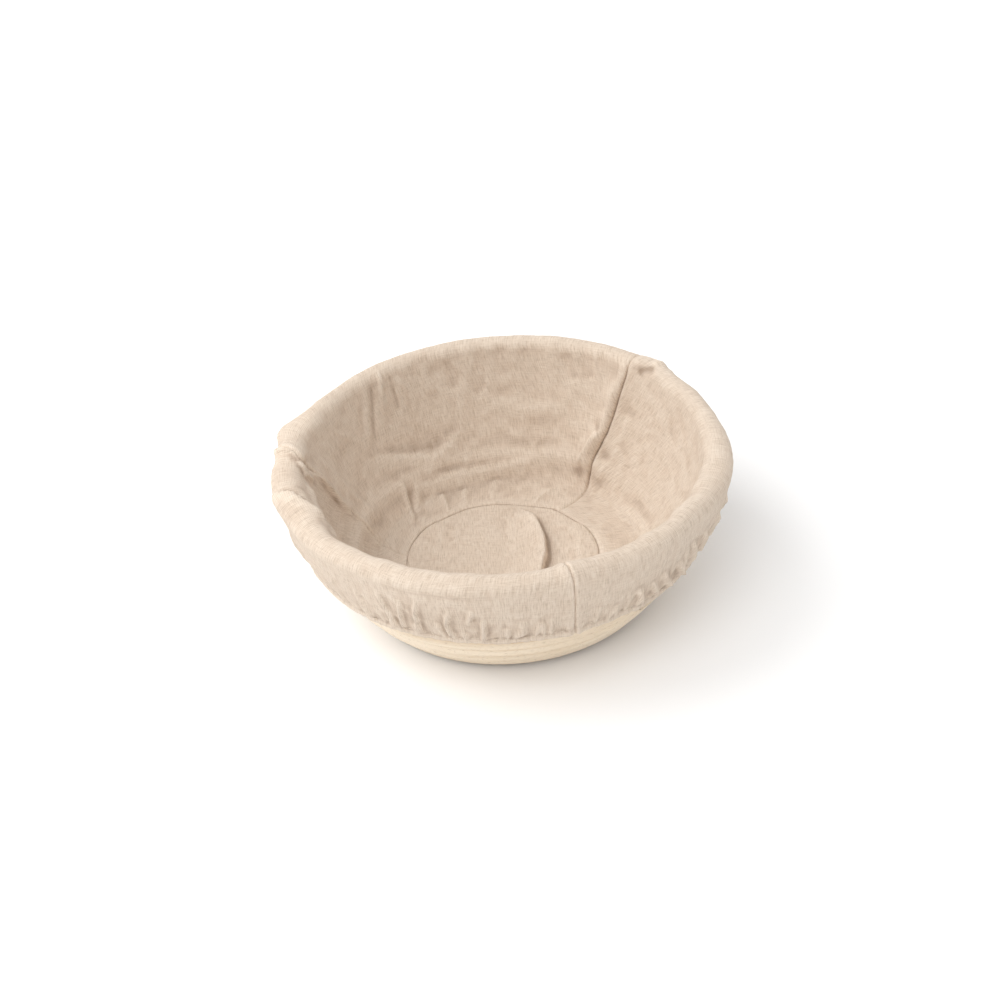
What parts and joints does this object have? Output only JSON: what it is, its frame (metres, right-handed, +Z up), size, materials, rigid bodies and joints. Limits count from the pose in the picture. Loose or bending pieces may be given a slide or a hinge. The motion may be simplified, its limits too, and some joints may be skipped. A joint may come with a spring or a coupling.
{
  "type": "banneton basket",
  "caption": "Round coiled rattan bread proofing basket with a removable gathered linen liner turned down over its rim.",
  "frame": {"origin": "middle of the sanded flat underside", "axes": "+Z up out of the bowl's mouth; the viewer stands at -Y"},
  "size_m": [0.2244, 0.2244, 0.0791],
  "materials": {
    "rattan": "matte",
    "brad_steel": "satin",
    "liner_linen": "matte",
    "thread": "matte",
    "elastic": "matte"
  },
  "bodies": {
    "basket": {"floor_cane": "rattan", "lower_wall_cane": "rattan", "middle_wall_cane": "rattan", "upper_wall_cane": "rattan", "rim_cane": "rattan", "floor_brads": "brad_steel", "lower_wall_brads": "brad_steel", "middle_wall_brads": "brad_steel", "upper_wall_brads": "brad_steel", "rim_brads": "brad_steel", "rim_end_brads": "brad_steel", "scarf_brads": "brad_steel"},
    "liner": {"liner_floor_disc": "liner_linen", "liner_panel_back": "liner_linen", "liner_panel_left_front": "liner_linen", "liner_panel_right": "liner_linen", "liner_skirt_back": "liner_linen", "liner_skirt_left_front": "liner_linen", "liner_skirt_right": "liner_linen", "floor_seam_thread": "thread", "side_seam_thread_back": "thread", "side_seam_thread_left_front": "thread", "side_seam_thread_right": "thread", "skirt_seam_threads": "thread", "hem_thread": "thread", "hem_elastic": "elastic"}
  },
  "joints": [
    {"name": "liner_lift", "type": "slide", "parent": "basket", "child": "liner", "axis": [0, 0, 1], "range_m": [0, 0.1], "deforming": ["liner_skirt_back", "liner_skirt_left_front", "liner_skirt_right", "skirt_seam_threads", "hem_thread", "hem_elastic"]}
  ]
}
